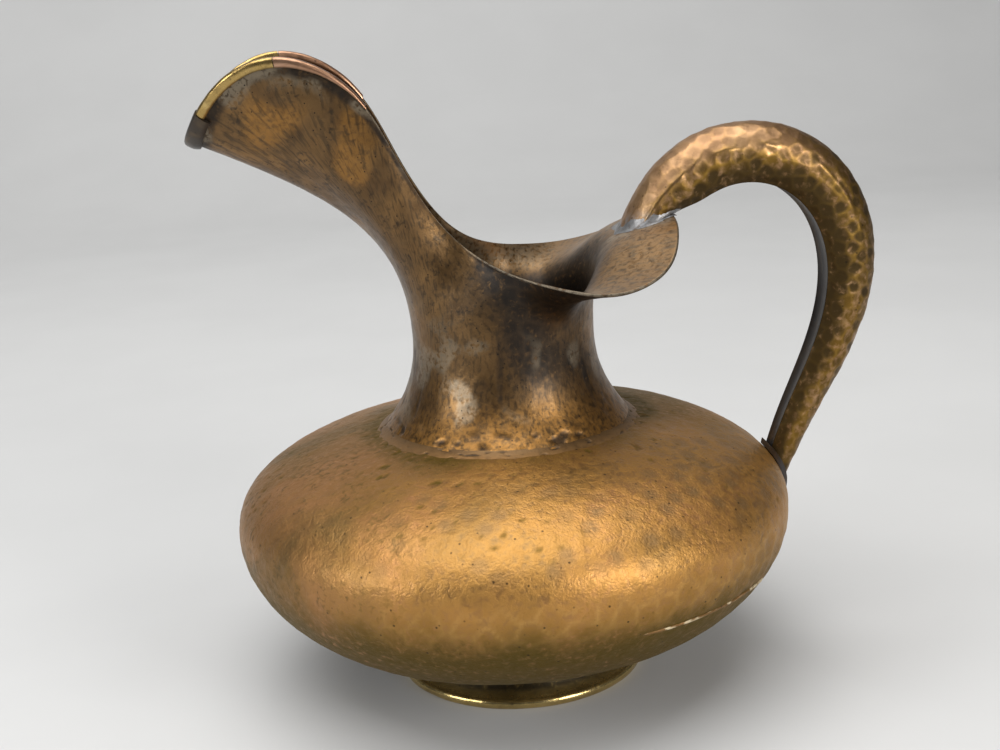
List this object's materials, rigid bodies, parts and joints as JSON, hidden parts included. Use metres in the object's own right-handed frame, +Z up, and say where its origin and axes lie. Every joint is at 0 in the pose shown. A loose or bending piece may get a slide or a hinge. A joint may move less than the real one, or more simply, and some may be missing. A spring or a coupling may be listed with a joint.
{
  "type": "ewer",
  "caption": "Hammered copper ewer with a squat belly, flared neck, open pouring spout with a bound lip, hollow loop handle and low foot ring.",
  "frame": {"origin": "centre of the circle that the foot rests on", "axes": "+Z up, spout towards -X, handle at +X, mirror plane XZ"},
  "size_m": [0.2408, 0.2, 0.2278],
  "materials": {
    "body_copper": "hammered copper with a golden brown patina",
    "neck_copper": "planished copper with a mottled brown patina",
    "handle_copper": "hammered copper, worn bright on its ridges",
    "strip_dark": "smooth copper with a dark patina",
    "lip_brass": "polished brass",
    "lip_pink": "satin copper",
    "clip_dark": "copper with a dark patina",
    "braze": "dull braze",
    "foot_brass": "worn brass",
    "solder": "dull grey solder"
  },
  "bodies": {
    "root": {"lower_bowl": "body_copper", "shoulder": "body_copper", "belly_seam_braze": "braze", "neck_seam_braze": "braze", "neck_and_spout": "neck_copper", "lip_tip_clip": "clip_dark", "lip_binding_front_left": "lip_brass", "lip_binding_front_right": "lip_brass", "lip_binding_rear_left": "lip_pink", "lip_binding_rear_right": "lip_pink", "handle_channel": "handle_copper", "handle_strip": "strip_dark", "handle_root_solder": "solder", "handle_tail_solder": "solder", "foot_ring": "foot_brass", "foot_wire": "foot_brass", "foot_solder": "solder"}
  },
  "joints": []
}
